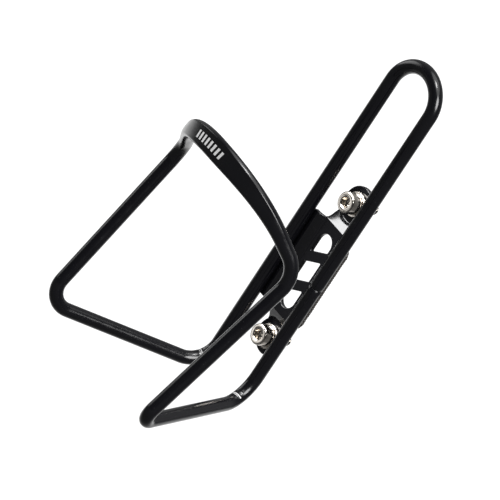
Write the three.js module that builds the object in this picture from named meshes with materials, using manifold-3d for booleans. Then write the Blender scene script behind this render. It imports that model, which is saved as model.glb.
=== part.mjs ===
// Bicycle water bottle cage: one bent aluminium rod, a stamped bracket welded behind its two
// rails, and two M5 socket-head bolts with washers.
//
// Millimetres. +Z runs along the bottle towards its mouth, +Y points at the bicycle's tube and
// -Y at the front of the cage. The origin lies midway between the two bolts, on the plane of the
// bracket's back faces.

import * as THREE from 'three';
import { mergeVertices } from 'three/addons/utils/BufferGeometryUtils.js';
import Module from 'manifold-3d';

const wasm = await Module();
wasm.setup();

// ---------------------------------------------------------------- driving dimensions
const GAP = 0.3;                 // clearance left between neighbouring pieces

// rod loop
const ROD_R = 2.8;
const RAIL_X = 12.9;             // half the distance between the two rails
const RAIL_Y = -10;              // the rails' plane
const TOP_Z = 92.6;              // centreline at the top of the arch
const ARCH_RISE = 12;            // arch height above the straight rails
const CORNER = { x: 37.2, y: -80.6 };                  // front bottom corner
const SHOULDER = { x: 41.1, y: -56.5, z: 18.6 };      // where a side rod turns into the band
const SHOULDER_BEND = 11.5;
const SEAM_Z = 0;                // butt seam between the rod's two ends, on the +X rail
const ROD_SIDES = 14;

// height and bend radius of the bottom rod at its foot under each rail and at its front corner,
// and how quickly the band climbs on that side to its front height
const RIGHT = { footZ: -54.9, footBend: 12.5, cornerZ: -58.1, cornerBend: 5.7, climb: 2.25 };
const LEFT = { footZ: -57.6, footBend: 11, cornerZ: -57.4, cornerBend: 8.2, climb: 1.9 };

// band round the bottle
const BOTTLE_Y = -47.6;          // bottle axis
const BAND_R = 37.7;             // band centreline about the bottle axis
const BAND_TOP_Z = 40.6;         // band height at the front
const BAND_BLEND = 8;            // how quickly the shoulder settles to the band's radius
const BAND_HALF_TALL = 4.73;     // flattened section at the front
const BAND_HALF_THIN = 1.65;
const BAND_CAP_R = 2;            // radius of its rounded top and bottom
const BAND_STEPS = 14;           // stations on each half of the band

// bracket
const SHEET = 2;                 // sheet thickness
const BOLT_Z = 32;               // half the 64 mm bolt spacing
const PAD_R = 7.5;
const HOLE_R = 2.75;
const NECK_X = 6;                // half width of the necks and of the flat web
const WING_X = 12.5;             // half width of the bracket behind the rails
const WING_Z = 20.5;             // half height of that wide part
const WING_CORNER = 1;           // outline radii at the wings' corners and beside the necks
const NECK_FILLET = 2;
const WEB_FRONT = -5.4;
const FLANGE_FRONT = RAIL_Y + ROD_R + GAP;
const FLANGE_X = 10;             // the sloping wall meets the flange here
const JOGGLE = 4;                // height over which a neck steps back to its pad
const WINDOW_X = 4;              // half width of the row of windows
const WINDOW_Z = 17;             // half height of the row of windows
const WINDOW_SHIFT = -0.6;       // the row's middle, below the bracket's
const BAR_Z = 6.8;               // the two slanted bars between the windows
const BAR_WIDTH = 4.3;
const BAR_SLANT = THREE.MathUtils.degToRad(28);
const CUT = 12;                  // reach of a cutter past the sheet
const OUTLINE_STEPS = 8;         // straight pieces in each rounded part of the outline

// weld beads
const BEAD = { x: 13.7, y: -6.2, halfX: 0.9, halfY: 0.7, halfZ: 18.5, ripples: 12 };
const BEAD_SIDES = 8;
const RIPPLE_STEPS = 4;
const BEAD_END = 0.35;           // bead width at its two ends, as a share of the full width
const BEAD_TAPER = 8;            // gain in that share over the whole length
const BEAD_DIP = 0.12;           // depth of the dips between ripples, as a share of the width
const BEAD_TIP = 0.3;            // length of the closing point at each end

// bolts and washers
const HEAD_R = 4.25;
const HEAD_H = 5;
const HEX_R = 4 / Math.sqrt(3);  // 4 mm across flats
const HEX_DEPTH = 2.6;
const SHANK_R = 2.4;
const SHANK_L = 12;
const CHAMFER = 0.5;
const WASHER_R = 5;
const WASHER_T = 1;
const ROUND_SIDES = 28;

// ---------------------------------------------------------------- materials
const blackPaint = () => new THREE.MeshStandardMaterial({
  color: 0x19191c, roughness: 0.32, metalness: 0.35,
});
const weldPaint = () => new THREE.MeshStandardMaterial({
  color: 0x222225, roughness: 0.5, metalness: 0.3,
});
const stainless = () => new THREE.MeshStandardMaterial({
  color: 0xc9c6c0, roughness: 0.22, metalness: 1,
});

// ---------------------------------------------------------------- solids
function toSolid(geometry) {
  const bare = geometry.clone();
  bare.deleteAttribute('normal');
  bare.deleteAttribute('uv');
  const merged = mergeVertices(bare, 1e-4);
  return new wasm.Manifold(new wasm.Mesh({
    numProp: 3,
    vertProperties: new Float32Array(merged.attributes.position.array),
    triVerts: new Uint32Array(merged.index.array),
  }));
}

function toGeometry(solid) {
  const mesh = solid.getMesh();
  const geometry = new THREE.BufferGeometry();
  geometry.setAttribute('position', new THREE.BufferAttribute(mesh.vertProperties, 3));
  geometry.setIndex(new THREE.BufferAttribute(mesh.triVerts, 1));
  geometry.computeVertexNormals();
  return geometry;
}

const box = (x0, x1, y0, y1, z0, z1) => new THREE.BoxGeometry(x1 - x0, y1 - y0, z1 - z0)
  .translate((x0 + x1) / 2, (y0 + y1) / 2, (z0 + z1) / 2);

function makeNode(name, geometry, material) {
  const mesh = new THREE.Mesh(geometry, material);
  mesh.name = name;
  return mesh;
}

// ---------------------------------------------------------------- rod path
const vec = (x, y, z) => new THREE.Vector3(x, y, z);

// Points of a circular bend of the given radius that rounds the corner between two straights.
function bend(before, corner, after, radius, steps) {
  const u = before.clone().sub(corner).normalize();
  const w = after.clone().sub(corner).normalize();
  const half = u.angleTo(w) / 2;
  const centre = u.clone().add(w).normalize().multiplyScalar(radius / Math.sin(half)).add(corner);
  const start = u.multiplyScalar(radius / Math.tan(half)).add(corner).sub(centre);
  const end = w.multiplyScalar(radius / Math.tan(half)).add(corner).sub(centre);
  const sweep = start.angleTo(end);
  return Array.from({ length: steps + 1 }, (_, i) => {
    const s = i / steps;
    return start.clone().multiplyScalar(Math.sin((1 - s) * sweep))
      .addScaledVector(end, Math.sin(s * sweep))
      .divideScalar(Math.sin(sweep))
      .add(centre);
  });
}

// Band centreline on the +X half: share 0 at the shoulder, 1 at the front of the bottle.
function bandPoint(share, climb) {
  const out = Math.hypot(SHOULDER.x, SHOULDER.y - BOTTLE_Y);
  const from = Math.atan2(SHOULDER.y - BOTTLE_Y, SHOULDER.x);
  const angle = THREE.MathUtils.lerp(from, -Math.PI / 2, share);
  const radius = BAND_R + (out - BAND_R) * (1 - share) ** BAND_BLEND;
  const z = BAND_TOP_Z - (BAND_TOP_Z - SHOULDER.z) * (1 - share) ** climb;
  return vec(radius * Math.cos(angle), BOTTLE_Y + radius * Math.sin(angle), z);
}

// Half of the rod, from the seam's height on a +X rail to the front of the band.
function halfRod(sizes) {
  const rail = vec(RAIL_X, RAIL_Y, SEAM_Z);
  const foot = vec(RAIL_X, RAIL_Y, sizes.footZ);
  const corner = vec(CORNER.x, CORNER.y, sizes.cornerZ);
  const shoulder = vec(SHOULDER.x, SHOULDER.y, SHOULDER.z);
  const firstBand = 2;
  const bandStart = bandPoint(firstBand / BAND_STEPS, sizes.climb);
  const band = [];
  for (let i = firstBand + 1; i <= BAND_STEPS; i += 1) {
    band.push(bandPoint(i / BAND_STEPS, sizes.climb));
  }
  return [
    rail,
    ...bend(rail, foot, corner, sizes.footBend, 7),
    ...bend(foot, corner, shoulder, sizes.cornerBend, 8),
    ...bend(corner, shoulder, bandStart, SHOULDER_BEND, 6),
    ...band,
  ];
}

const mirrored = (point) => vec(-point.x, point.y, point.z);

function rodStations() {
  const right = halfRod(RIGHT);
  const left = halfRod(LEFT).slice(0, -1).reverse().map(mirrored);
  const archSteps = 14;
  const arch = Array.from({ length: archSteps + 1 }, (_, i) => {
    const angle = Math.PI * (1 - i / archSteps);
    return vec(
      RAIL_X * Math.cos(angle),
      RAIL_Y,
      TOP_Z - ARCH_RISE * (1 - Math.sin(angle)),
    );
  });
  const lastEnd = vec(RAIL_X, RAIL_Y, SEAM_Z + GAP);
  return [...right, ...left, ...arch, lastEnd];
}

// Curve through stations, whose spaced points are the stations themselves.
class StationCurve extends THREE.Curve {
  constructor(stations) {
    super();
    this.stations = stations;
  }

  getPoint(t, target = vec(0, 0, 0)) {
    const place = t * (this.stations.length - 1);
    const index = Math.min(Math.floor(place), this.stations.length - 2);
    return target.lerpVectors(this.stations[index], this.stations[index + 1], place - index);
  }

  getPointAt(u, target) {
    return this.getPoint(u, target);
  }

  getTangentAt(u, target = vec(0, 0, 0)) {
    const last = this.stations.length - 1;
    const index = Math.round(u * last);
    const here = this.stations[index];
    const ahead = this.stations[Math.min(index + 1, last)].clone().sub(here).normalize();
    const behind = here.clone().sub(this.stations[Math.max(index - 1, 0)]).normalize();
    return target.copy(ahead).add(behind).normalize();
  }
}

// How much of the flattening a point of the centreline has: none below the shoulders.
function flatness(point) {
  const from = Math.atan2(SHOULDER.y - BOTTLE_Y, SHOULDER.x);
  const angle = Math.atan2(point.y - BOTTLE_Y, Math.abs(point.x));
  const share = (angle - from) / (-Math.PI / 2 - from);
  return point.z > SHOULDER.z ? THREE.MathUtils.smoothstep(share, 0, 1) : 0;
}

// Offset [outward, up] of a section point at an angle round the rod, for an amount of flattening:
// from a circle to two flat sides with a rounded top and bottom.
function flattened(angle, amount) {
  const halfTall = THREE.MathUtils.lerp(ROD_R, BAND_HALF_TALL, amount);
  const halfThin = THREE.MathUtils.lerp(ROD_R, BAND_HALF_THIN, amount);
  const capR = THREE.MathUtils.lerp(ROD_R, BAND_CAP_R, amount);
  const edge = Math.sqrt(1 - (halfThin / capR) ** 2);
  const lift = THREE.MathUtils.clamp(Math.sin(angle) / edge, -1, 1);
  return [
    THREE.MathUtils.clamp(capR * Math.cos(angle), -halfThin, halfThin),
    capR * Math.sin(angle) + (halfTall - capR) * lift,
  ];
}

function makeRodLoop() {
  const stations = rodStations();
  const curve = new StationCurve(stations);
  const section = new THREE.Shape().absarc(0, 0, ROD_R, 0, 2 * Math.PI);
  const geometry = new THREE.ExtrudeGeometry(section, {
    steps: stations.length - 1, extrudePath: curve, curveSegments: ROD_SIDES / 2,
  });
  const position = geometry.attributes.position;
  const vertex = vec(0, 0, 0);
  for (let i = 0; i < position.count; i += 1) {
    vertex.fromBufferAttribute(position, i);
    const distances = stations.map((station) => station.distanceToSquared(vertex));
    const index = distances.indexOf(Math.min(...distances));
    const centre = stations[index];
    const amount = flatness(centre);
    if (amount > 0) {
      const along = curve.getTangentAt(index / (stations.length - 1));
      const outward = vec(centre.x, centre.y - BOTTLE_Y, 0);
      outward.addScaledVector(along, -outward.dot(along)).normalize();
      const up = vec(0, 0, 0).crossVectors(along, outward);
      const offset = vertex.clone().sub(centre);
      const [a, b] = flattened(Math.atan2(offset.dot(up), offset.dot(outward)), amount);
      vertex.copy(centre).addScaledVector(outward, a).addScaledVector(up, b);
      position.setXYZ(i, vertex.x, vertex.y, vertex.z);
    }
  }
  geometry.computeVertexNormals();
  return makeNode('rod_loop', geometry, blackPaint());
}

// ---------------------------------------------------------------- bracket
// Outline seen from the front, in x and z: two round pads on necks, and the wide part between.
function bracketOutline() {
  const neckAngle = Math.acos(NECK_X / PAD_R);
  const fillet = { r: NECK_FILLET, x: NECK_X + NECK_FILLET, z: WING_Z + NECK_FILLET };
  const corner = { r: WING_CORNER, x: WING_X - WING_CORNER, z: WING_Z - WING_CORNER };
  const shape = new THREE.Shape();
  shape.absarc(0, BOLT_Z, PAD_R, -neckAngle, Math.PI + neckAngle, false);
  shape.absarc(-fillet.x, fillet.z, fillet.r, 0, -Math.PI / 2, true);
  shape.absarc(-corner.x, corner.z, corner.r, Math.PI / 2, Math.PI, false);
  shape.absarc(-corner.x, -corner.z, corner.r, Math.PI, 1.5 * Math.PI, false);
  shape.absarc(-fillet.x, -fillet.z, fillet.r, Math.PI / 2, 0, true);
  shape.absarc(0, -BOLT_Z, PAD_R, Math.PI - neckAngle, 2 * Math.PI + neckAngle, false);
  shape.absarc(fillet.x, -fillet.z, fillet.r, Math.PI, Math.PI / 2, true);
  shape.absarc(corner.x, -corner.z, corner.r, -Math.PI / 2, 0, false);
  shape.absarc(corner.x, corner.z, corner.r, 0, Math.PI / 2, false);
  shape.absarc(fillet.x, fillet.z, fillet.r, -Math.PI / 2, -Math.PI, true);
  return shape;
}

// Prism of an x-z outline, reaching through the whole bracket along y.
function throughPrism(shape) {
  const prism = new THREE.ExtrudeGeometry(shape, {
    depth: 2 * CUT, bevelEnabled: false, curveSegments: OUTLINE_STEPS,
  });
  return prism.rotateX(Math.PI / 2).translate(0, CUT, 0);
}

// Closed strip of sheet thickness under a front line given as [a, y] points.
function sheetStrip(front) {
  const back = front.map(([a, y]) => [a, y + SHEET]).reverse();
  return new THREE.Shape([...front, ...back].map(([a, y]) => new THREE.Vector2(a, y)));
}

function channel() {
  const edge = WING_X + GAP;
  const strip = sheetStrip([
    [-edge, FLANGE_FRONT],
    [-FLANGE_X, FLANGE_FRONT],
    [-NECK_X, WEB_FRONT],
    [NECK_X, WEB_FRONT],
    [FLANGE_X, FLANGE_FRONT],
    [edge, FLANGE_FRONT],
  ]);
  const prism = new THREE.ExtrudeGeometry(strip, { depth: 2 * WING_Z, bevelEnabled: false });
  return prism.translate(0, 0, -WING_Z);
}

function spine() {
  const end = BOLT_Z + PAD_R + GAP;
  const step = WING_Z + JOGGLE;
  const strip = sheetStrip([
    [-end, -SHEET],
    [-step, -SHEET],
    [-WING_Z, WEB_FRONT],
    [WING_Z, WEB_FRONT],
    [step, -SHEET],
    [end, -SHEET],
  ]);
  const prism = new THREE.ExtrudeGeometry(strip, { depth: 2 * NECK_X, bevelEnabled: false });
  return prism.translate(0, 0, -NECK_X).rotateY(Math.PI / 2);
}

function windowCutter() {
  const arc = WINDOW_Z - WINDOW_X;
  const slot = new THREE.Shape();
  slot.absarc(0, WINDOW_SHIFT + arc, WINDOW_X, 0, Math.PI, false);
  slot.absarc(0, WINDOW_SHIFT - arc, WINDOW_X, Math.PI, 2 * Math.PI, false);
  let cutter = toSolid(throughPrism(slot));
  for (const side of [-1, 1]) {
    const bar = box(-PAD_R, PAD_R, -CUT, CUT, -BAR_WIDTH / 2, BAR_WIDTH / 2);
    bar.rotateY(-BAR_SLANT).translate(0, 0, WINDOW_SHIFT + side * BAR_Z);
    cutter = cutter.subtract(toSolid(bar));
  }
  return cutter;
}

function makeBracket() {
  let solid = toSolid(channel()).add(toSolid(spine()));
  for (const side of [-1, 1]) {
    const inner = WING_Z + JOGGLE;
    const outer = BOLT_Z + PAD_R + GAP;
    const [z0, z1] = side > 0 ? [inner, outer] : [-outer, -inner];
    solid = solid.add(toSolid(box(-PAD_R - GAP, PAD_R + GAP, -SHEET, 0, z0, z1)));
  }
  solid = solid.intersect(toSolid(throughPrism(bracketOutline()))).subtract(windowCutter());
  for (const side of [-1, 1]) {
    const drill = new THREE.CylinderGeometry(HOLE_R, HOLE_R, 2 * CUT, ROUND_SIDES);
    solid = solid.subtract(toSolid(drill.translate(0, 0, side * BOLT_Z)));
  }
  return makeNode('mounting_bracket', toGeometry(solid), blackPaint());
}

// ---------------------------------------------------------------- weld beads
// Rippled fillet of weld metal along the outer edge of the bracket, behind one rail.
function makeWeldBead(name, side) {
  const steps = RIPPLE_STEPS * BEAD.ripples;
  const reach = BEAD.halfZ - BEAD_TIP;
  const profile = [new THREE.Vector2(0, -BEAD.halfZ)];
  for (let i = 0; i <= steps; i += 1) {
    const share = i / steps;
    const taper = Math.min(1, BEAD_END + BEAD_TAPER * Math.min(share, 1 - share));
    const ripple = 1 - BEAD_DIP * (1 - Math.cos(2 * Math.PI * BEAD.ripples * share));
    profile.push(new THREE.Vector2(taper * ripple, THREE.MathUtils.lerp(-reach, reach, share)));
  }
  profile.push(new THREE.Vector2(0, BEAD.halfZ));
  const geometry = new THREE.LatheGeometry(profile, BEAD_SIDES);
  geometry.rotateX(Math.PI / 2).scale(BEAD.halfX, BEAD.halfY, 1);
  geometry.translate(side * BEAD.x, BEAD.y, 0);
  return makeNode(name, geometry, weldPaint());
}

// ---------------------------------------------------------------- fasteners
const WASHER_FRONT = -SHEET - GAP - WASHER_T;
const HEAD_UNDER = WASHER_FRONT - GAP;

function makeBolt(name, z) {
  const top = HEAD_UNDER - HEAD_H;
  const tip = HEAD_UNDER + SHANK_L;
  const profile = [
    [0, top],
    [HEAD_R - CHAMFER, top],
    [HEAD_R, top + CHAMFER],
    [HEAD_R, HEAD_UNDER],
    [SHANK_R, HEAD_UNDER],
    [SHANK_R, tip - CHAMFER],
    [SHANK_R - CHAMFER, tip],
    [0, tip],
  ].map(([r, y]) => new THREE.Vector2(r, y));
  const blank = toSolid(new THREE.LatheGeometry(profile, ROUND_SIDES));
  const socket = new THREE.CylinderGeometry(HEX_R, HEX_R, 2 * HEX_DEPTH, 6).translate(0, top, 0);
  const geometry = toGeometry(blank.subtract(toSolid(socket))).translate(0, 0, z);
  return makeNode(name, geometry, stainless());
}

function makeWasher(name, z) {
  const back = WASHER_FRONT + WASHER_T;
  const profile = [
    [HOLE_R, WASHER_FRONT],
    [WASHER_R, WASHER_FRONT],
    [WASHER_R, back],
    [HOLE_R, back],
    [HOLE_R, WASHER_FRONT],
  ].map(([r, y]) => new THREE.Vector2(r, y));
  const geometry = new THREE.LatheGeometry(profile, ROUND_SIDES).translate(0, 0, z);
  return makeNode(name, geometry, stainless());
}

// ---------------------------------------------------------------- assembly
const group = new THREE.Group();
group.add(makeRodLoop());
group.add(makeBracket());
group.add(makeWeldBead('weld_bead_right', 1));
group.add(makeWeldBead('weld_bead_left', -1));
for (const [place, z] of [['upper', BOLT_Z], ['lower', -BOLT_Z]]) {
  group.add(makeWasher(`${place}_washer`, z));
  group.add(makeBolt(`${place}_bolt`, z));
}

export default group;
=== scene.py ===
"""Looks of the bicycle water bottle cage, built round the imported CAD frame."""
import math

import bmesh
import bpy
import numpy as np
from mathutils import Matrix, Vector, geometry


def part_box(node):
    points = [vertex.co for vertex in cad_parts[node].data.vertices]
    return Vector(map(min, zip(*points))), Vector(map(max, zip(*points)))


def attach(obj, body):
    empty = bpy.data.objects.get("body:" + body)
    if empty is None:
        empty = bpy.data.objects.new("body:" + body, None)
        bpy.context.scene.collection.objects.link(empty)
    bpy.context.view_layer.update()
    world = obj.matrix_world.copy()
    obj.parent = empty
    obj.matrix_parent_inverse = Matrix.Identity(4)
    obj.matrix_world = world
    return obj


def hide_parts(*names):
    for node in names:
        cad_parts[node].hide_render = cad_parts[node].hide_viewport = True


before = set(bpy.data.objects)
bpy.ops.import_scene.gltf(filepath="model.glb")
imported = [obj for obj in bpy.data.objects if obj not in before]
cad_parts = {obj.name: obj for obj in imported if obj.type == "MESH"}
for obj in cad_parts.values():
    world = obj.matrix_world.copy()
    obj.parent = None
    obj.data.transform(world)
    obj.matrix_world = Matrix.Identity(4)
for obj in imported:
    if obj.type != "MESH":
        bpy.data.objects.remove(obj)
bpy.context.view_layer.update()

MM = 0.001


def node_box(node):
    """Lowest and highest corner of a CAD node, in millimetres."""
    low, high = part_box(node)
    return np.array(low) / MM, np.array(high) / MM


# ------------------------------------------------------------ sizes, in millimetres
ROD_HIGH = node_box("rod_loop")[1]
UPPER_LOW, UPPER_HIGH = node_box("upper_bolt")
BRACKET_LOW, BRACKET_HIGH = node_box("mounting_bracket")
WASHER_LOW, WASHER_HIGH = node_box("upper_washer")

# rod
ROD_R = 2.8
RAIL_X = 12.9
RAIL_Y = ROD_HIGH[1] - ROD_R
TOP_Z = ROD_HIGH[2] - ROD_R
ARCH_RISE = 12.0
# Sizes that differ from side to side: the bottom rod's height under the rail and at the front corner, the
# radii of its bends there, how sharply the band's climb levels off, and how far along the rod the press
# mark is moved.
RIGHT = {"foot_z": -54.9, "foot_bend": 12.5, "corner_z": -58.1, "corner_bend": 5.7, "climb": 2.25,
         "mark": 0.0}
LEFT = {"foot_z": -57.6, "foot_bend": 11.0, "corner_z": -57.4, "corner_bend": 8.2, "climb": 1.9,
        "mark": -3.2}
CORNER_X = 37.2
CORNER_Y = -80.6
SHOULDER = np.array([41.1, -56.5, 18.6])
SHOULDER_BEND = 11.5
SEAM_Z = 0.0
SEAM_GAP = 0.06
SEAM_CHAMFER = 0.08

# front band, where the rod is pressed flat; shares run from 0 at the shoulder to 1 at the front centre
BOTTLE_Y = -47.6
BAND_R = 37.7
BAND_TOP_Z = 40.6
BAND_BLEND = 8
BAND_AIM_SHARE = 2 / 14
BAND_FIRST_SHARE = 3 / 14
BAND_HALF_TALL = 4.73
BAND_HALF_THIN = 1.65
BAND_CAP_R = 2.0
SHOULDER_R = math.hypot(SHOULDER[0], SHOULDER[1] - BOTTLE_Y)
SHOULDER_ANGLE = math.atan2(SHOULDER[1] - BOTTLE_Y, SHOULDER[0])
FRONT_ANGLE = -math.pi / 2
EDGE_TURN = math.radians(6)
EDGE_EASE_DEGREES = 2.2

# printed bars; places are shares of the way from the front centre to the shoulder, below 0 towards -X
PRINT_BARS = 8
PRINT_FROM = -0.23
PRINT_TO = 0.12
PRINT_TALL = 3.3
PRINT_SLANT = 0.004
PRINT_HALF_INK = 0.03

# press marks inside the foot bends: (travel along the rod, change of radius) pairs, the ranges of facing
# over which they fade in, and (travel from, travel to, facing) of the crests that get a painted highlight,
# a near-white coat standing in for the light their sharp edges catch; facing is 1 for paint that looks
# straight at the inside of the bend
MARK_REACH = 7.0
MARK_FACING = np.array([0.1, -0.7, 0.7])
DISH_PROFILE = ((-0.2, 0.0), (0.1, -0.14), (1.6, -0.14), (1.9, 0.0))
DISH_FADE = (0.86, 0.90)
STEP_PROFILE = ((1.9, 0.0), (2.3, 0.02), (2.65, -0.17), (3.3, 0.0), (3.5, -0.10), (4.1, 0.0))
STEP_FADE = (0.60, 0.68)
HIGHLIGHT_CRESTS = ((2.35, 2.75, 0.58), (3.35, 3.5, 0.80))

# bracket
SHEET = 2.0
SHEET_EDGE_R = 0.35
BOLT_Z = (UPPER_LOW[2] + UPPER_HIGH[2]) / 2
PAD_R = BRACKET_HIGH[2] - BOLT_Z
PAD_FRONT = -SHEET
HOLE_R = 2.75
RECESS_R = 7.87
RECESS_HALF_WALL = 0.1
RECESS_WALL_BLEND = 0.06
RECESS_LIP = 0.15
NECK_X = 6.0
NECK_FILLET = 2.0
NECK_FADE_FROM = NECK_X + 0.5
NECK_FADE_TO = NECK_X + 2.5
WING_X = BRACKET_HIGH[0]
WING_Z = 20.5
WING_CORNER = 1.0
WEB_FRONT = -5.4
FLANGE_FRONT = RAIL_Y + ROD_R
FLANGE_X = 10.0
FLANGE_BLEND = 0.3
SLOPE_Z = 20.8
SLOPE_RISE = 0.6
SLOPE_BLEND = 0.2
SLOPE_FADE_FROM = WING_Z - 1
SLOPE_ALONE_Z = SLOPE_Z + 0.7
WINDOW_X = 4.0
WINDOW_Z = 17.0
WINDOW_SHIFT = -0.6
WINDOW_CORNER = 0.5
BAR_Z = 6.8
BAR_WIDTH = 4.3
BAR_SLANT = math.radians(28)

# weld beads
BEAD_HALF_X = 1.15
BEAD_HALF_Y = 0.85
BEAD_SINK = 0.25
BEAD_TAPER = 14
BEAD_TIP = 0.005
BEAD_WOBBLE = 0.09
RIPPLE_PITCH = 1.15
RIPPLE_DEPTH = 0.448
RIPPLE_POWER = 1.5
RIPPLE_LEAN = 0.18

# bolts and washers
HEAD_R = (UPPER_HIGH[0] - UPPER_LOW[0]) / 2
HEAD_TOP = UPPER_LOW[1]
HEAD_UNDER = HEAD_TOP + 5.0
HEAD_TOP_EDGE_R = 0.7
HEAD_UNDER_EDGE_R = 0.2
TIP_Y = UPPER_HIGH[1]
TIP_R = 1.2
TIP_EDGE = 0.1
TIP_TAPER = 0.35
AXIS_R = 0.01
HEX_HALF = 2.0
HEX_R = 2 * HEX_HALF / math.sqrt(3)
HEX_FLOOR = HEAD_TOP + 2.6
THREAD_R = 2.45
THREAD_DEPTH = 0.45
THREAD_START = HEAD_UNDER + 0.8
SHANK_FILLET = 0.3
PITCH = 0.8
WASHER_R = (WASHER_HIGH[0] - WASHER_LOW[0]) / 2
WASHER_EDGE_R = 0.18

# ------------------------------------------------------------ how finely the meshes are cut
SAME_POINT = 1e-6
MERGE_METRES = 1e-7
STRAIGHT_STEP = 2.0
FOOT_STEPS = 180
CORNER_STEPS = 26
SHOULDER_STEPS = 24
BAND_POINTS = 60
ARCH_POINTS = 49
FLAT_POINTS = 7
EDGE_POINTS = 9
CAP_POINTS = 15
PRINT_ROWS = 5
OUTLINE_STEP = 0.7
ARC_STEP = 0.35
ROUND_CORNER_POINTS = 6
STRAIGHT_CORNER = math.radians(150)
RECESS_LINES = (-0.17, -0.1, -0.04, 0.04, 0.1, 0.17)
CREASE_LINES = (-0.15, 0.15)
LINE_MARGIN = 0.25
GRID_STEP = 0.7
GRID_MARGIN = 0.4
GRID_CLEARANCE = 0.3
SHEET_EDGE_STEPS = 4
BEAD_ROWS = 260
BEAD_SIDES = 20
WOBBLE_POINTS = 16
WOBBLE_SEED = 7
LATHE_SIDES = 96
THREAD_ROWS = 150
THREAD_IN_ROWS = 8
THREAD_OUT_ROWS = 10

# ------------------------------------------------------------ materials, stage and camera, in metres
PEEL_HEIGHT = 0.00004
GRAIN_HEIGHT = 0.00001
DUST_COLOR = (0.10, 0.10, 0.105, 1)
FLOOR_HALF = 12.0
FLOOR_Z = -0.32
ROOM_LIGHT = 0.06
SWEEP_LIGHT = 0.3
SWEEP_TOWARD = (-0.66, 0.75, 0.0)
SWEEP_START = -0.2
SWEEP_FULL = 0.7
CAMERA_AZIMUTH = math.radians(41.3)
CAMERA_ELEVATION = math.radians(19.15)
CAMERA_ROLL = math.radians(33.25)
CAMERA_DISTANCE = 1.561
CAMERA_TARGET = Vector((-0.0135, -0.0238, -0.0042))
CAMERA_LENS = 294.2
SENSOR = 36.0


# ------------------------------------------------------------ materials
class Nodes:
    """Short way to build a node material."""

    def __init__(self, name):
        self.material = bpy.data.materials.new(name)
        self.material.use_nodes = True
        self.tree = self.material.node_tree
        self.shader = self.tree.nodes["Principled BSDF"]
        self.coords = self.tree.nodes.new("ShaderNodeTexCoord").outputs["Object"]

    def add(self, kind, **values):
        node = self.tree.nodes.new(kind)
        for key, value in values.items():
            setattr(node, key, value)
        return node

    def link(self, source, target):
        self.tree.links.new(source, target)

    def noise(self, scale, detail=3.0, roughness=0.5, stretch=None):
        node = self.add("ShaderNodeTexNoise")
        node.inputs["Scale"].default_value = scale
        node.inputs["Detail"].default_value = detail
        node.inputs["Roughness"].default_value = roughness
        source = self.coords
        if stretch:
            mapping = self.add("ShaderNodeMapping")
            mapping.inputs["Scale"].default_value = stretch
            self.link(self.coords, mapping.inputs["Vector"])
            source = mapping.outputs["Vector"]
        self.link(source, node.inputs["Vector"])
        return node.outputs["Fac"]

    def ramp(self, source, stops):
        """Colour ramp through (place, grey level or colour) stops."""
        node = self.add("ShaderNodeValToRGB")
        elements = node.color_ramp.elements
        while len(elements) < len(stops):
            elements.new(0.5)
        for element, (place, color) in zip(elements, stops):
            element.position = place
            element.color = (*color, 1) if isinstance(color, tuple) else (color, color, color, 1)
        self.link(source, node.inputs["Fac"])
        return node.outputs["Color"]

    def scaled(self, source, factor):
        node = self.add("ShaderNodeMath", operation="MULTIPLY")
        node.inputs[1].default_value = factor
        self.link(source, node.inputs[0])
        return node.outputs["Value"]

    def bump(self, *heights):
        """Stacks (height source, strength, distance in metres) into the shader's normal."""
        last = None
        for source, strength, distance in heights:
            node = self.add("ShaderNodeBump")
            node.inputs["Strength"].default_value = strength
            node.inputs["Distance"].default_value = distance
            self.link(source, node.inputs["Height"])
            if last:
                self.link(last, node.inputs["Normal"])
            last = node.outputs["Normal"]
        self.link(last, self.shader.inputs["Normal"])

    def set(self, **values):
        for key, value in values.items():
            self.shader.inputs[key.replace("_", " ")].default_value = value


def black_paint(name, tone, rough, peel):
    """Glossy black paint: faint orange peel, handling smudges and a few dust specks."""
    paint = Nodes(name)
    specks = paint.ramp(paint.noise(2600, 1.0), [(0.0, 0.0), (0.74, 0.0), (0.80, 1.0)])
    lighter = tuple(1.25 * channel for channel in tone)
    tint = paint.ramp(paint.noise(70, 4.0), [(0.3, tone), (0.7, lighter)])
    dusted = paint.add("ShaderNodeMix", data_type="RGBA")
    dusted.inputs["B"].default_value = DUST_COLOR
    paint.link(paint.scaled(specks, 0.5), dusted.inputs["Factor"])
    paint.link(tint, dusted.inputs["A"])
    paint.link(dusted.outputs["Result"], paint.shader.inputs["Base Color"])
    smudge = paint.ramp(paint.noise(160, 5.0, 0.6), [(0.35, rough), (0.75, rough + 0.09)])
    paint.link(smudge, paint.shader.inputs["Roughness"])
    paint.set(Metallic=0.0, IOR=1.5, Specular_IOR_Level=0.5, Coat_Weight=0.0)
    paint.bump((paint.noise(900, 2.0), peel, PEEL_HEIGHT), (paint.noise(4200, 2.0), 0.10, GRAIN_HEIGHT))
    return paint.material


def polished_steel(name, rough, brushed):
    """Bright stainless steel with fine turning lines and small stains."""
    steel = Nodes(name)
    stain = steel.ramp(steel.noise(420, 4.0), [(0.3, (0.62, 0.575, 0.52)), (0.7, (0.76, 0.72, 0.66))])
    steel.link(stain, steel.shader.inputs["Base Color"])
    lines = steel.ramp(steel.noise(1500, 4.0, stretch=brushed), [(0.3, rough), (0.7, rough + 0.12)])
    steel.link(lines, steel.shader.inputs["Roughness"])
    steel.set(Metallic=1.0)
    steel.bump((steel.noise(2200, 3.0, stretch=brushed), 0.12, GRAIN_HEIGHT))
    return steel.material


def pale_coat(name, dark, light):
    """Pale matt coat, slightly uneven."""
    coat = Nodes(name)
    tint = coat.ramp(coat.noise(3000, 3.0), [(0.3, dark), (0.7, light)])
    coat.link(tint, coat.shader.inputs["Base Color"])
    rough = coat.ramp(coat.noise(900, 3.0), [(0.3, 0.42), (0.7, 0.55)])
    coat.link(rough, coat.shader.inputs["Roughness"])
    coat.bump((coat.noise(5000, 2.0), 0.2, GRAIN_HEIGHT))
    return coat.material


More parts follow.
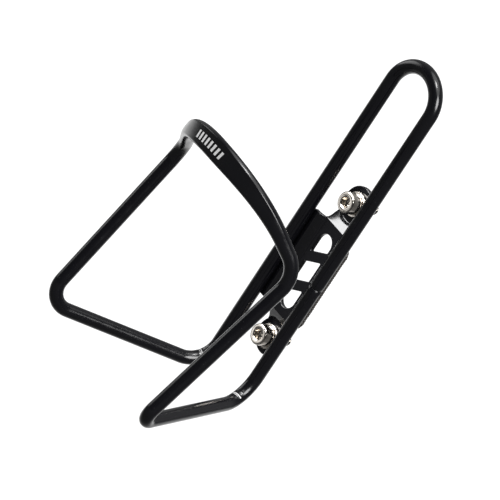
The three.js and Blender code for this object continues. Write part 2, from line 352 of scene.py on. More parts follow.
ROD_PAINT = black_paint("gloss_black_rod", tone=(0.0030, 0.0030, 0.0042), rough=0.16, peel=0.10)
SHEET_PAINT = black_paint("gloss_black_sheet", tone=(0.0030, 0.0030, 0.0038), rough=0.12, peel=0.22)
# The welds wear black paint. Their lighter, warmer tone is a painted reflection of the bike's orange and blue
# tube, which is not built.
WELD_PAINT_AND_REFLECTION = black_paint("weld_paint_with_painted_reflection", tone=(0.034, 0.029, 0.026), rough=0.30, peel=0.60)
BOLT_STEEL = polished_steel("turned_stainless", rough=0.07, brushed=(1, 6, 1))
WASHER_STEEL = polished_steel("stamped_stainless", rough=0.12, brushed=(1, 1, 1))
PRINT = pale_coat("pale_print", dark=0.20, light=0.27)
# Near-white coat on the crests of the press marks: a painted highlight where the steps' edges catch the
# light.
CREST_HIGHLIGHT_COAT = pale_coat("painted_crest_highlight", dark=0.75, light=0.95)


# ------------------------------------------------------------ mesh helpers
def add_piece(name, points, faces, material, body, replaced=None, sharp=None):
    """Adds a piece that moves with a body, from points in millimetres. Edges over `sharp` degrees stay
    hard; the rest are shaded smooth."""
    mesh = bpy.data.meshes.new(name)
    mesh.from_pydata([tuple(MM * np.asarray(p, float)) for p in points], [], faces)
    mesh.validate()
    mesh.materials.append(material)
    work = bmesh.new()
    work.from_mesh(mesh)
    bmesh.ops.remove_doubles(work, verts=work.verts, dist=MERGE_METRES)
    bmesh.ops.recalc_face_normals(work, faces=work.faces)
    work.to_mesh(mesh)
    work.free()
    mesh.shade_smooth()
    if sharp:
        mesh.set_sharp_from_angle(angle=math.radians(sharp))
    piece = bpy.data.objects.new(name, mesh)
    bpy.context.scene.collection.objects.link(piece)
    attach(piece, body)
    if replaced:
        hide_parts(replaced)
    return piece


def loft_faces(rows, sides, closed=False):
    """Quads between consecutive rings of points, with an n-gon at each end unless the rows close up."""
    faces = []
    for row in range(rows if closed else rows - 1):
        a, b = row * sides, (row + 1) % rows * sides
        for i in range(sides):
            j = (i + 1) % sides
            faces.append((a + i, a + j, b + j, b + i))
    if not closed:
        faces.append(tuple(range(sides - 1, -1, -1)))
        faces.append(tuple((rows - 1) * sides + i for i in range(sides)))
    return faces


def smooth(value, low, high):
    """Smooth step from 0 at low to 1 at high."""
    t = np.clip((value - low) / (high - low), 0, 1)
    return t * t * (3 - 2 * t)


def soft_ramp(value, low, high, blend):
    """Straight ramp from 0 to 1 with rounded ends."""
    shifts = np.linspace(-blend, blend, 7)
    return sum(np.clip((value - low + shift) / (high - low), 0, 1) for shift in shifts) / len(shifts)


# ------------------------------------------------------------ rod path
def bend(before, corner, after, radius, steps):
    """Points of a circular bend that rounds a corner between two straights."""
    back = (before - corner) / np.linalg.norm(before - corner)
    ahead = (after - corner) / np.linalg.norm(after - corner)
    half = math.acos(np.clip(back @ ahead, -1, 1)) / 2
    centre = corner + (back + ahead) / np.linalg.norm(back + ahead) * radius / math.sin(half)
    start = corner + back * radius / math.tan(half) - centre
    end = corner + ahead * radius / math.tan(half) - centre
    sweep = math.pi - 2 * half
    return [centre + (math.sin((1 - s) * sweep) * start + math.sin(s * sweep) * end) / math.sin(sweep)
            for s in np.linspace(0, 1, steps + 1)]


def straight(start, end):
    """Evenly spaced points between two ends, without the ends."""
    count = max(1, round(np.linalg.norm(end - start) / STRAIGHT_STEP))
    return [start + (end - start) * i / count for i in range(1, count)]


def band_point(share, climb):
    """Point of the +X half of the band's centreline."""
    angle = SHOULDER_ANGLE + (FRONT_ANGLE - SHOULDER_ANGLE) * share
    radius = BAND_R + (SHOULDER_R - BAND_R) * (1 - share) ** BAND_BLEND
    z = BAND_TOP_Z - (BAND_TOP_Z - SHOULDER[2]) * (1 - share) ** climb
    return np.array([radius * math.cos(angle), BOTTLE_Y + radius * math.sin(angle), z])


def half_path(sizes):
    """Centreline of the +X half, from the seam's height on the rail to the front of the band."""
    rail = np.array([RAIL_X, RAIL_Y, SEAM_Z])
    foot = np.array([RAIL_X, RAIL_Y, sizes["foot_z"]])
    corner = np.array([CORNER_X, CORNER_Y, sizes["corner_z"]])
    aim = band_point(BAND_AIM_SHARE, sizes["climb"])
    foot_bend = bend(rail, foot, corner, sizes["foot_bend"], FOOT_STEPS)
    corner_bend = bend(foot, corner, SHOULDER, sizes["corner_bend"], CORNER_STEPS)
    shoulder_bend = bend(corner, SHOULDER, aim, SHOULDER_BEND, SHOULDER_STEPS)
    half = [rail, *straight(rail, foot_bend[0]), *foot_bend]
    half += [*straight(foot_bend[-1], corner_bend[0]), *corner_bend]
    half += [*straight(corner_bend[-1], shoulder_bend[0]), *shoulder_bend]
    shares = np.linspace(BAND_FIRST_SHARE, 1, BAND_POINTS)
    return half + [band_point(share, sizes["climb"]) for share in shares]


def rod_path():
    """Centreline from one end of the rod, round the loop, to the other."""
    right = half_path(RIGHT)
    left = [p * np.array([-1, 1, 1]) for p in half_path(LEFT)[-2::-1]]
    spring = TOP_Z - ARCH_RISE
    arch = [np.array([RAIL_X * math.cos(a), RAIL_Y, spring + ARCH_RISE * math.sin(a)])
            for a in np.linspace(math.pi, 0, ARCH_POINTS)]
    end = right[0] + [0, 0, SEAM_GAP]
    path = right + left + straight(left[-1], arch[0]) + arch + straight(arch[-1], end) + [end]
    return np.array(path)


def path_frames(path):
    """Unit tangent, outward and up directions; outward points away from the bottle's axis."""
    step = np.diff(path, axis=0)
    step /= np.linalg.norm(step, axis=1)[:, None]
    along = np.vstack([step[:1], step[:-1] + step[1:], step[-1:]])
    along /= np.linalg.norm(along, axis=1)[:, None]
    outward = path * [1, 1, 0] - [0, BOTTLE_Y, 0]
    outward -= (outward * along).sum(axis=1)[:, None] * along
    outward /= np.linalg.norm(outward, axis=1)[:, None]
    return along, outward, np.cross(along, outward)


# ------------------------------------------------------------ rod
def section_angles():
    """Angles round the rod's section, closer together where a flat side meets a cap."""
    edge = math.acos(BAND_HALF_THIN / BAND_CAP_R)
    flat = np.linspace(-edge + EDGE_TURN, edge - EDGE_TURN, FLAT_POINTS)
    fillet = np.linspace(edge - EDGE_TURN, edge + EDGE_TURN, EDGE_POINTS)[1:-1]
    cap = np.linspace(edge + EDGE_TURN, math.pi - edge - EDGE_TURN, CAP_POINTS)
    half = [*flat, *fillet, *cap, *(math.pi - fillet[::-1])]
    return np.array([*half, *(angle + math.pi for angle in half)])


ANGLES = section_angles()


def flat_section():
    """Fully flattened section: two flat sides, a rounded top and bottom, slightly eased edges."""
    edge = math.sin(math.acos(BAND_HALF_THIN / BAND_CAP_R))
    x, y = np.zeros_like(ANGLES), np.zeros_like(ANGLES)
    eases = np.radians(np.linspace(-EDGE_EASE_DEGREES, EDGE_EASE_DEGREES, 7))
    for ease in eases:
        sine, cosine = np.sin(ANGLES + ease), np.cos(ANGLES + ease)
        x += np.clip(BAND_CAP_R * cosine, -BAND_HALF_THIN, BAND_HALF_THIN)
        y += BAND_CAP_R * sine + (BAND_HALF_TALL - BAND_CAP_R) * np.clip(sine / edge, -1, 1)
    return x / len(eases), y / len(eases)


def flatness(point):
    """How far the rod is pressed flat: 0 round, 1 fully flat, none below the shoulders."""
    angle = math.atan2(point[1] - BOTTLE_Y, abs(point[0]))
    share = (angle - SHOULDER_ANGLE) / (FRONT_ANGLE - SHOULDER_ANGLE)
    return smooth(share, 0, 1) if point[2] > SHOULDER[2] else 0.0


def foot_marks(path, along, outward, up):
    """Press marks inside the two foot bends, a shallow dish and two sharp steps across the rod:
    the radial change of each section point, and whether it gets the painted highlight of a step's crest."""
    change = np.zeros((len(path), len(ANGLES)))
    highlighted = np.zeros(change.shape, bool)
    for side, sizes in ((1, RIGHT), (-1, LEFT)):
        foot = np.array([side * RAIL_X, RAIL_Y, sizes["foot_z"]])
        inside = MARK_FACING * [side, 1, 1]
        inside /= np.linalg.norm(inside)
        centre = path[np.argmin(np.linalg.norm(path - foot, axis=1))]
        for i in np.where(np.linalg.norm(path - centre, axis=1) < MARK_REACH)[0]:
            normals = np.outer(np.cos(ANGLES), outward[i]) + np.outer(np.sin(ANGLES), up[i])
            facing = normals @ inside
            travel = side * (path[i] - centre) @ along[i] - sizes["mark"]
            dish = np.interp(travel, *zip(*DISH_PROFILE))
            steps = np.interp(travel, *zip(*STEP_PROFILE))
            change[i] = smooth(facing, *DISH_FADE) * dish + smooth(facing, *STEP_FADE) * steps
            for first, last, least in HIGHLIGHT_CRESTS:
                if first < travel < last:
                    highlighted[i] = facing > least
    return change, highlighted


def chamfer_ends(rings, path):
    """Chamfers both ends of the rod, which makes the butt seam a fine groove."""
    collars = []
    for end, inner in ((0, 1), (-1, -2)):
        toward = (path[inner] - path[end]) / np.linalg.norm(path[inner] - path[end])
        collars.append(rings[end] + SEAM_CHAMFER * toward)
        rings[end] = path[end] + (rings[end] - path[end]) * (1 - SEAM_CHAMFER / ROD_R)
    return [rings[0], collars[0], *rings[1:-1], collars[1], rings[-1]]


def make_rod():
    """The bent rod, pressed flat along the front band."""
    path = rod_path()
    along, outward, up = path_frames(path)
    change, highlighted = foot_marks(path, along, outward, up)
    flat_x, flat_y = flat_section()
    sides = len(ANGLES)
    rings = []
    for i, centre in enumerate(path):
        flat = flatness(centre)
        x = (1 - flat) * ROD_R * np.cos(ANGLES) + flat * flat_x
        y = (1 - flat) * ROD_R * np.sin(ANGLES) + flat * flat_y
        scale = 1 + change[i] / ROD_R
        rings.append(centre + np.outer(x * scale, outward[i]) + np.outer(y * scale, up[i]))
    rings = chamfer_ends(rings, path)
    rod = add_piece("bent_rod", np.vstack(rings), loft_faces(len(rings), sides), ROD_PAINT, "cage",
                    "rod_loop", sharp=50)
    # Second material: the painted highlight on the crests of the press marks.
    rod.data.materials.append(CREST_HIGHLIGHT_COAT)
    # The chamfer's collar puts one more row of faces before those of the path.
    for row, column in zip(*np.where(highlighted)):
        rod.data.polygons[(row + 1) * sides + column].material_index = 1
    return rod


# ------------------------------------------------------------ printed bars
def front_face(turn):
    """Point, outward and up directions on the band's outer face; turn is 0 at its front centre,
    and negative towards the -X shoulder."""
    sizes, mirror = (LEFT, -1) if turn < 0 else (RIGHT, 1)
    share = 1 - abs(turn)
    centre = band_point(share, sizes["climb"]) * [mirror, 1, 1]
    nearby = band_point(share - 0.004, sizes["climb"]) * [mirror, 1, 1]
    along = (nearby - centre) / np.linalg.norm(nearby - centre)
    outward = centre * [1, 1, 0] - [0, BOTTLE_Y, 0]
    outward -= (outward @ along) * along
    outward /= np.linalg.norm(outward)
    up = np.cross(along, outward)
    thin = ROD_R + (BAND_HALF_THIN - ROD_R) * flatness(centre)
    return centre + outward * thin, outward, up * np.sign(up[2])


def make_print():
    """A row of plain slanted bars printed on the band's outer face."""
    points, faces = [], []
    pitch = (PRINT_TO - PRINT_FROM) / PRINT_BARS
    corners = ((0, -PRINT_HALF_INK), (0, PRINT_HALF_INK), (1, PRINT_HALF_INK), (1, -PRINT_HALF_INK))
    for bar in range(PRINT_BARS):
        first_point = len(points)
        for row in range(PRINT_ROWS):
            height = (row / (PRINT_ROWS - 1) - 0.5) * PRINT_TALL
            for column, depth in corners:
                turn = PRINT_FROM + (bar + 0.5 * column) * pitch + height * PRINT_SLANT
                centre, outward, up = front_face(turn)
                points.append(centre + outward * depth + up * height)
        faces += [tuple(first_point + i for i in face) for face in loft_faces(PRINT_ROWS, len(corners))]
    return add_piece("printed_bars", points, faces, PRINT, "cage", sharp=30)


# ------------------------------------------------------------ bracket outlines, as rows of (x, z) points
def arc_points(x, z, radius, first, last, step=ARC_STEP):
    """Points of an arc about (x, z)."""
    count = max(2, math.ceil(abs(last - first) * radius / step))
    angles = np.linspace(first, last, count + 1)
    return [(x + radius * math.cos(a), z + radius * math.sin(a)) for a in angles]


def resample(loop):
    """Adds points to long straight sides of a closed loop."""
    result = []
    for (x0, z0), (x1, z1) in zip(loop, loop[1:] + loop[:1]):
        length = math.hypot(x1 - x0, z1 - z0)
        if length < SAME_POINT:
            continue
        count = max(1, math.ceil(length / OUTLINE_STEP))
        result += [(x0 + (x1 - x0) * i / count, z0 + (z1 - z0) * i / count) for i in range(count)]
    return result


def round_corners(loop, radius):
    """Rounds the sharp corners of a loop."""
    result = []
    count = len(loop)
    for i in range(count):
        before, here, after = (np.array(loop[(i + k) % count]) for k in (-1, 0, 1))
        back, ahead = before - here, after - here
        if np.linalg.norm(back) < SAME_POINT or np.linalg.norm(ahead) < SAME_POINT:
            continue
        back, ahead = back / np.linalg.norm(back), ahead / np.linalg.norm(ahead)
        angle = math.acos(np.clip(back @ ahead, -1, 1))
        if angle > STRAIGHT_CORNER:
            result.append(tuple(here))
            continue
        reach = radius / math.tan(angle / 2)
        start, end = here + back * reach, here + ahead * reach
        for s in np.linspace(0, 1, ROUND_CORNER_POINTS):
            result.append(tuple((1 - s) ** 2 * start + 2 * s * (1 - s) * here + s * s * end))
    return result


def bracket_outline():
    """Two round pads on necks, and the wide part between."""
    neck = math.acos(NECK_X / PAD_R)
    pi = math.pi
    upper_left = arc_points(-NECK_X - NECK_FILLET, WING_Z + NECK_FILLET, NECK_FILLET, 0, -pi / 2)
    upper_left += arc_points(-WING_X + WING_CORNER, WING_Z - WING_CORNER, WING_CORNER, pi / 2, pi)
    loop = arc_points(0, BOLT_Z, PAD_R, -neck, pi + neck)
    loop += upper_left + [(x, -z) for x, z in upper_left[::-1]]
    loop += arc_points(0, -BOLT_Z, PAD_R, pi - neck, 2 * pi + neck)
    loop += [(-x, -z) for x, z in upper_left] + [(-x, z) for x, z in upper_left[::-1]]
    return resample(loop)


def slot_windows():
    """The three windows: a slot with round ends, split by two slanted bars."""
    arc = WINDOW_Z - WINDOW_X
    half = BAR_WIDTH / 2 / math.cos(BAR_SLANT)
    rise = WINDOW_X * math.tan(BAR_SLANT)
    low = BAR_Z + half
    high = BAR_Z - half
    end = arc_points(0, arc, WINDOW_X, 0, math.pi) + [(-WINDOW_X, low - rise), (WINDOW_X, low + rise)]
    middle = [(WINDOW_X, high + rise), (-WINDOW_X, high - rise),
              (-WINDOW_X, -high - rise), (WINDOW_X, -high + rise)]
    other_end = [(-x, -z) for x, z in end]
    windows = [round_corners(window, WINDOW_CORNER) for window in (end, middle, other_end)]
    return [resample([(x, z + WINDOW_SHIFT) for x, z in window]) for window in windows]


def bracket_loops():
    """The outline, the three windows and the two bolt holes."""
    holes = [arc_points(0, side * BOLT_Z, HOLE_R, 0, 2 * math.pi)[:-1] for side in (1, -1)]
    return [bracket_outline(), *slot_windows(), *holes]


def loop_normals(loop):
    """Unit normals of a closed loop in x and z, on its right-hand side."""
    points = np.array(loop)
    side = np.roll(points, -1, axis=0) - np.roll(points, 1, axis=0)
    normal = np.column_stack([side[:, 1], -side[:, 0]])
    return normal / np.linalg.norm(normal, axis=1)[:, None]


def loop_area(points):
    """Area inside a closed loop, negative if the loop runs clockwise."""
    after = np.roll(points, -1, axis=0)
    return 0.5 * np.sum(points[:, 0] * after[:, 1] - after[:, 0] * points[:, 1])


def inside_loop(loop, points):
    """Which points lie inside a closed loop."""
    x, z = points[:, 0], points[:, 1]
    result = np.zeros(len(points), bool)
    for (x0, z0), (x1, z1) in zip(loop, np.roll(loop, -1, axis=0)):
        crosses = (z0 > z) != (z1 > z)
        with np.errstate(divide="ignore", invalid="ignore"):
            at = x0 + (z - z0) * (x1 - x0) / (z1 - z0)
        result ^= crosses & (x < at)
    return result


# ------------------------------------------------------------ bracket
def front_depth(x, z):
    """y of the sheet's front face: flat web, raised wings, sloping necks, round recessed pads."""
    across, height = np.abs(x), np.abs(z)
    wing = soft_ramp(across, NECK_X, FLANGE_X, FLANGE_BLEND)
    channel = WEB_FRONT + (FLANGE_FRONT - WEB_FRONT) * wing
    lip = PAD_FRONT - RECESS_LIP
    run = (lip - WEB_FRONT) / SLOPE_RISE
    slope = WEB_FRONT + (lip - WEB_FRONT) * soft_ramp(height, SLOPE_Z, SLOPE_Z + run, SLOPE_BLEND)
    from_bolt = np.hypot(x, height - BOLT_Z)
    wall = soft_ramp(from_bolt, RECESS_R - RECESS_HALF_WALL, RECESS_R + RECESS_HALF_WALL, RECESS_WALL_BLEND)
    neck = PAD_FRONT + (slope - PAD_FRONT) * np.where(height < BOLT_Z, wall, 0)
    middle = 1 - smooth(across, NECK_FADE_FROM, NECK_FADE_TO)
    weight = np.where(height > SLOPE_ALONE_Z, 1, smooth(height, SLOPE_FADE_FROM, SLOPE_Z) * middle)
    return channel + (neck - channel) * weight


def feature_lines():
    """Creases of the sheet, as rows of points that the mesh follows."""
    lines = []
    for side in (1, -1):
        for offset in RECESS_LINES:
            arc = arc_points(0, BOLT_Z, RECESS_R + offset, math.pi, 2 * math.pi, 0.3)
            lines.append([(x, side * z) for x, z in arc])
        for offset in CREASE_LINES:
            lines.append([(x, side * (SLOPE_Z + offset)) for x in np.arange(-NECK_X, NECK_X, 0.4)])
            for crease in (NECK_X, FLANGE_X):
                x = side * (crease + 2 * offset)
                lines.append([(x, z) for z in np.arange(-WING_Z, WING_Z, 0.6)])
    return lines


def on_sheet(borders, points, margin):
    """Which points lie on the sheet, farther than the margin from its borders."""
    keep = inside_loop(borders[0], points)
    for border in borders[1:]:
        keep &= ~inside_loop(border, points)
    rims = np.vstack(borders)
    near = np.min(np.linalg.norm(points[:, None] - rims[None], axis=2), axis=1)
    return keep & (near > margin)


def plan_points(borders):
    """Points of the sheet's plan, the edges between them that the mesh keeps, and the first point of
    each border."""
    points, edges, starts = [], [], []
    for border in borders:
        start = len(points)
        count = len(border)
        starts.append(start)
        edges += [(start + i, start + (i + 1) % count) for i in range(count)]
        points += [tuple(p) for p in border]
    for line in feature_lines():
        last = None
        for point, good in zip(line, on_sheet(borders, np.array(line), LINE_MARGIN)):
            if good:
                points.append(tuple(point))
                if last is not None:
                    edges.append((last, len(points) - 1))
            last = len(points) - 1 if good else None
    grid = np.array([(x, z) for x in np.arange(-WING_X, WING_X, GRID_STEP)
                     for z in np.arange(BRACKET_LOW[2], BRACKET_HIGH[2], GRID_STEP)])
    grid = grid[on_sheet(borders, grid, GRID_MARGIN)]
    nearest = np.min(np.linalg.norm(grid[:, None] - np.array(points)[None], axis=2), axis=1)
    points += [tuple(p) for p in grid[nearest > GRID_CLEARANCE]]
    return points, edges, starts


def sheet_plan(borders):
    """Triangulated x-z plan of the sheet between its inset borders: points, triangles, and the points
    of each border."""
    points, edges, starts = plan_points(borders)
    result = geometry.delaunay_2d_cdt([Vector(p) for p in points], edges, [], 0, SAME_POINT)
    where = np.array([(v.x, v.y) for v in result[0]])
    centres = np.array([where[list(t)].mean(axis=0) for t in result[2]])
    triangles = [t for t, good in zip(result[2], on_sheet(borders, centres, 0)) if good]
    index = {source: i for i, sources in enumerate(result[3]) for source in sources}
    rings = [[index[start + i] for i in range(len(border))] for border, start in zip(borders, starts)]
    return where, triangles, rings


def edge_profile():
    """Rounded edge of the sheet, front to back: (distance behind the front face, bulge) pairs."""
    angles = [math.pi / 2 * k / SHEET_EDGE_STEPS for k in range(1, SHEET_EDGE_STEPS + 1)]
    front = [(SHEET_EDGE_R * (1 - math.cos(a)), SHEET_EDGE_R * math.sin(a)) for a in angles]
    return front + [(SHEET - back, bulge) for back, bulge in front[::-1]]


def make_bracket():
    """The stamped sheet, with rounded edges round its outline, windows and holes."""
    borders, aways = [], []
    for number, loop in enumerate(bracket_loops()):
        points = np.array(loop)
        away = loop_normals(loop) * (1 if loop_area(points) > 0 else -1) * (1 if number == 0 else -1)
        borders.append(points - away * SHEET_EDGE_R)
        aways.append(away)
    where, triangles, rings = sheet_plan(borders)
    front = np.column_stack([where[:, 0], front_depth(where[:, 0], where[:, 1]), where[:, 1]])
    points = [*front, *(front + [0, SHEET, 0])]
    count = len(where)
    faces = [tuple(t) for t in triangles] + [tuple(count + i for i in reversed(t)) for t in triangles]
    for ring, away in zip(rings, aways):
        rows = [ring]
        for back, bulge in edge_profile():
            rows.append(list(range(len(points), len(points) + len(ring))))
            points += [front[i] + [bulge * x, back, bulge * z] for i, (x, z) in zip(ring, away)]
        rows.append([count + i for i in ring])
        for a, b in zip(rows, rows[1:]):
            for i in range(len(a)):
                j = (i + 1) % len(a)
                faces.append((a[i], a[j], b[j], b[i]))
    return add_piece("stamped_bracket", points, faces, SHEET_PAINT, "cage",
                     "mounting_bracket", sharp=70)


# ------------------------------------------------------------ weld beads
def make_weld(name, node, side):
    """Rippled bead in the corner between a rail's back and the bracket's outer edge."""
    low, high = node_box(node)
    centre_x = abs(low[0] + high[0]) / 2 - BEAD_SINK
    centre_y = (low[1] + high[1]) / 2 - BEAD_SINK
    rng = np.random.default_rng(WOBBLE_SEED + side)
    swells = rng.uniform(-BEAD_WOBBLE, BEAD_WOBBLE, WOBBLE_POINTS)
    wobble = np.interp(np.linspace(0, 1, BEAD_ROWS), np.linspace(0, 1, WOBBLE_POINTS), swells)
    points = []
    for row in range(BEAD_ROWS):
        share = row / (BEAD_ROWS - 1)
        z = low[2] + (high[2] - low[2]) * share
        taper = math.sqrt(min(1.0, BEAD_TAPER * min(share, 1 - share)))
        ripple = 1 - RIPPLE_DEPTH * abs((z / RIPPLE_PITCH) % 1 - 0.5) ** RIPPLE_POWER
        size = (taper * (1 - BEAD_TIP) + BEAD_TIP) * (ripple + wobble[row])
        for i in range(BEAD_SIDES):
            angle = 2 * math.pi * i / BEAD_SIDES
            x = centre_x + BEAD_HALF_X * size * math.cos(angle)
            y = centre_y + BEAD_HALF_Y * size * math.sin(angle)
            lean = RIPPLE_LEAN * (1 - 4 * (i / BEAD_SIDES - 0.5) ** 2)
            points.append((side * x, y, z + lean))
    faces = loft_faces(BEAD_ROWS, BEAD_SIDES)
    # The bead's tone carries a painted reflection of the tube it sits against.
    return add_piece(name, points, faces, WELD_PAINT_AND_REFLECTION, "cage", node)


# ------------------------------------------------------------ fasteners
LATHE_ANGLES = np.linspace(0, 2 * math.pi, LATHE_SIDES, endpoint=False)


def lathe(profile, centre_z):
    """Rings about a bolt's axis (along y) from (radius, y) pairs; a radius is one number, or one for
    each side."""
    rings = []
    for radius, y in profile:
        radii = np.broadcast_to(radius, LATHE_ANGLES.shape)
        x = radii * np.cos(LATHE_ANGLES)
        z = centre_z + radii * np.sin(LATHE_ANGLES)
        rings.append(np.column_stack([x, np.full(LATHE_SIDES, y), z]))
    return np.vstack(rings)


def quarter(radius, y, size, first, last, steps=5):
    """Rounded edge of a lathe profile about (radius, y)."""
    angles = np.linspace(first, last, steps + 1)
    return [(radius + size * math.cos(a), y + size * math.sin(a)) for a in angles]


def socket_profile():
    """Socket floor with its drill point, hexagon walls, countersunk mouth."""
    sixth = math.pi / 3
    hexagon = HEX_R * math.cos(sixth / 2) / np.cos((LATHE_ANGLES % sixth) - sixth / 2)
    drill = [(AXIS_R, HEX_FLOOR + 0.7), (1.3, HEX_FLOOR + 0.15), (1.75, HEX_FLOOR)]
    floor_edge = [(np.minimum(hexagon, HEX_HALF - 0.02), HEX_FLOOR), (hexagon, HEX_FLOOR - 0.05)]
    wall_top = [(hexagon, HEAD_TOP + 0.3), (np.maximum(hexagon, HEX_HALF + 0.02), HEAD_TOP + 0.26)]
    mouth = [(HEX_R + 0.12, HEAD_TOP + 0.03), (HEX_R + 0.22, HEAD_TOP)]
    return [*drill, *floor_edge, *wall_top, *mouth]


def head_profile():
    """Outside of the head, from its top edge to the fillet into the shank."""
    pi = math.pi
    top = quarter(HEAD_R - HEAD_TOP_EDGE_R, HEAD_TOP + HEAD_TOP_EDGE_R, HEAD_TOP_EDGE_R, -pi / 2, 0, 8)
    under = quarter(HEAD_R - HEAD_UNDER_EDGE_R, HEAD_UNDER - HEAD_UNDER_EDGE_R, HEAD_UNDER_EDGE_R,
                    0, pi / 2, 4)
    fillet = quarter(THREAD_R + SHANK_FILLET, HEAD_UNDER + SHANK_FILLET, SHANK_FILLET, -pi / 2, -pi, 4)
    return [*top, *under, *fillet]


def thread_profile():
    """A V ridge that climbs one pitch a turn, fading in below the head and out at the tapered tip."""
    rows = []
    length = TIP_Y - TIP_EDGE - THREAD_START
    for step in range(THREAD_ROWS + 1):
        y = THREAD_START + length * step / THREAD_ROWS
        to_tip = (THREAD_ROWS - step) / THREAD_OUT_ROWS
        phase = (y / PITCH - LATHE_ANGLES / (2 * math.pi)) % 1
        ridge = np.clip((1 - np.abs(2 * phase - 1)) * 1.25 - 0.1, 0, 1)
        groove = THREAD_DEPTH * min(1.0, step / THREAD_IN_ROWS, to_tip + 0.1)
        rows.append((THREAD_R - groove * (1 - ridge) - TIP_TAPER * max(0.0, 1 - to_tip), y))
    return rows


def make_bolt(name, node, body, centre_z):
    """Socket-head cap screw."""
    profile = [*socket_profile(), *head_profile(), *thread_profile(), (TIP_R, TIP_Y), (AXIS_R, TIP_Y)]
    faces = loft_faces(len(profile), LATHE_SIDES)
    return add_piece(name, lathe(profile, centre_z), faces, BOLT_STEEL, body, node, sharp=35)


def make_washer(name, node, body, centre_z):
    """Plain washer with rounded edges."""
    low, high = node_box(node)
    pi = math.pi
    edge = WASHER_EDGE_R
    profile = quarter(WASHER_R - edge, low[1] + edge, edge, -pi / 2, 0)
    profile += quarter(WASHER_R - edge, high[1] - edge, edge, 0, pi / 2)
    profile += quarter(HOLE_R + edge, high[1] - edge, edge, pi / 2, pi)
    profile += quarter(HOLE_R + edge, low[1] + edge, edge, pi, 1.5 * pi)
    faces = loft_faces(len(profile), LATHE_SIDES, closed=True)
    return add_piece(name, lathe(profile, centre_z), faces, WASHER_STEEL, body, node, sharp=40)


# ------------------------------------------------------------ stage, lights, camera
def add_floor():
    """Large pale floor below the part, which something else holds up."""
    corners = [(-FLOOR_HALF, -FLOOR_HALF, FLOOR_Z), (FLOOR_HALF, -FLOOR_HALF, FLOOR_Z),
               (FLOOR_HALF, FLOOR_HALF, FLOOR_Z), (-FLOOR_HALF, FLOOR_HALF, FLOOR_Z)]
    mesh = bpy.data.meshes.new("floor")
    mesh.from_pydata(corners, [], [(0, 1, 2, 3)])
    pale = Nodes("pale_floor")
    pale.link(pale.ramp(pale.noise(0.6, 2.0), [(0.3, 0.90), (0.7, 0.93)]), pale.shader.inputs["Base Color"])
    pale.set(Roughness=0.9, Specular_IOR_Level=0.1)
    mesh.materials.append(pale.material)
    floor = bpy.data.objects.new("floor", mesh)
    bpy.context.scene.collection.objects.link(floor)
    return floor


def add_world():
    """A dim room in front of the object and a brighter sweep behind it."""
    world = bpy.data.worlds.new("studio")
    world.use_nodes = True
    tree = world.node_tree
    coords = tree.nodes.new("ShaderNodeTexCoord")
    facing = tree.nodes.new("ShaderNodeVectorMath")
    facing.operation = "DOT_PRODUCT"
    facing.inputs[1].default_value = SWEEP_TOWARD
    ramp = tree.nodes.new("ShaderNodeMapRange")
    ramp.interpolation_type = "SMOOTHSTEP"
    ramp.inputs["From Min"].default_value = SWEEP_START
    ramp.inputs["From Max"].default_value = SWEEP_FULL
    ramp.inputs["To Min"].default_value = ROOM_LIGHT
    ramp.inputs["To Max"].default_value = SWEEP_LIGHT
    tree.links.new(coords.outputs["Generated"], facing.inputs[0])
    tree.links.new(facing.outputs["Value"], ramp.inputs["Value"])
    tree.links.new(ramp.outputs["Result"], tree.nodes["Background"].inputs["Strength"])
    tree.nodes["Background"].inputs["Color"].default_value = (1, 1, 1, 1)
    bpy.context.scene.world = world


def add_lamp(name, light, objects, state):
    """Adds a lamp that lights everything but the objects (EXCLUDE), or only them (INCLUDE)."""
    lamp = bpy.data.objects.new(name, light)
    bpy.context.scene.collection.objects.link(lamp)
    receivers = bpy.data.collections.new(f"{name}_receivers")
    for thing in objects:
        receivers.objects.link(thing)
    for entry in receivers.collection_objects:
        entry.light_linking.link_state = state
    lamp.light_linking.receiver_collection = receivers
    return lamp


def add_softbox(name, toward, strength, spread, unlit):
    """Large soft lamp far away in the given direction; spread is its width in degrees."""
    light = bpy.data.lights.new(name, "SUN")
    light.energy = strength
    light.angle = math.radians(spread)
    lamp = add_lamp(name, light, unlit, "EXCLUDE")
    lamp.rotation_euler = Vector(toward).to_track_quat("Z", "Y").to_euler()


def add_sweep_light(place, power, cone, floor):
    """Lamp above the floor behind the object, which keeps the backdrop white."""
    light = bpy.data.lights.new("sweep_light", "SPOT")
    light.energy = power
    light.spot_size = math.radians(cone)
    light.spot_blend = 0.2
    light.shadow_soft_size = 0.2
    lamp = add_lamp("sweep_light", light, [floor], "INCLUDE")
    lamp.location = place


def add_fill_card(place, size, power, pieces):
    """White card low in front, which only the steel pieces mirror."""
    light = bpy.data.lights.new("fill_card", "AREA")
    light.size = size
    light.energy = power
    lamp = add_lamp("fill_card", light, pieces, "INCLUDE")
    lamp.location = place
    lamp.rotation_euler = Vector(place).to_track_quat("Z", "Y").to_euler()


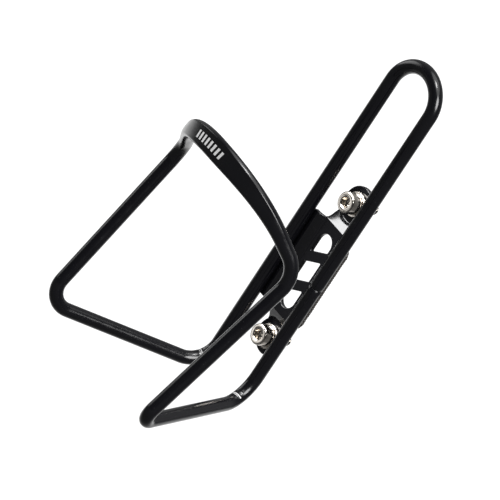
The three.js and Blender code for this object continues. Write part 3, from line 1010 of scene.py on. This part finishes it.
def add_camera():
    """Camera at the photo's place, turned about its own axis as the photo is."""
    sin_a, cos_a = math.sin(CAMERA_AZIMUTH), math.cos(CAMERA_AZIMUTH)
    sin_e, cos_e = math.sin(CAMERA_ELEVATION), math.cos(CAMERA_ELEVATION)
    back = Vector((sin_a * cos_e, -cos_a * cos_e, sin_e))
    right = Vector((cos_a, sin_a, 0))
    up = back.cross(right)
    cos_r, sin_r = math.cos(CAMERA_ROLL), math.sin(CAMERA_ROLL)
    rolled_right = cos_r * right + sin_r * up
    rolled_up = cos_r * up - sin_r * right
    turn = Matrix((rolled_right, rolled_up, back)).transposed()
    data = bpy.data.cameras.new("camera")
    data.lens = CAMERA_LENS
    data.sensor_width = SENSOR
    data.clip_end = 100
    camera = bpy.data.objects.new("camera", data)
    camera.matrix_world = Matrix.Translation(CAMERA_TARGET + CAMERA_DISTANCE * back) @ turn.to_4x4()
    bpy.context.scene.collection.objects.link(camera)
    bpy.context.scene.camera = camera


# ------------------------------------------------------------ the pieces and the stage
rod = make_rod()
make_print()
make_bracket()
make_weld("right_weld", "weld_bead_right", 1)
make_weld("left_weld", "weld_bead_left", -1)
steel_pieces = []
for place, z in (("upper", BOLT_Z), ("lower", -BOLT_Z)):
    steel_pieces.append(make_bolt(f"{place}_cap_screw", f"{place}_bolt", f"{place}_bolt_body", z))
    steel_pieces.append(make_washer(f"{place}_plain_washer", f"{place}_washer", f"{place}_washer_carrier", z))

floor = add_floor()
add_world()
add_softbox("overhead_softbox", toward=(-0.60, -0.60, 0.52), strength=7.0, spread=40, unlit=[floor, rod])
add_softbox("key_softbox", toward=(0.10, -0.63, 0.77), strength=2.4, spread=22, unlit=[floor, rod])
add_softbox("right_softbox", toward=(0.80, -0.15, 0.55), strength=3.4, spread=34, unlit=[floor])
add_softbox("top_softbox", toward=(0.12, -0.28, 0.95), strength=1.3, spread=15, unlit=[floor])
add_softbox("left_softbox", toward=(-0.93, -0.33, 0.13), strength=0.75, spread=40, unlit=[floor])
add_softbox("ceiling_softbox", toward=(0.10, -0.10, 0.99), strength=1.5, spread=60, unlit=[floor])
add_sweep_light(place=(-0.75, 0.82, 2.3), power=330, cone=44, floor=floor)
add_fill_card(place=(-0.50, -0.57, -0.26), size=0.35, power=0.4, pieces=steel_pieces)
bpy.context.scene.view_settings.view_transform = "Standard"
add_camera()
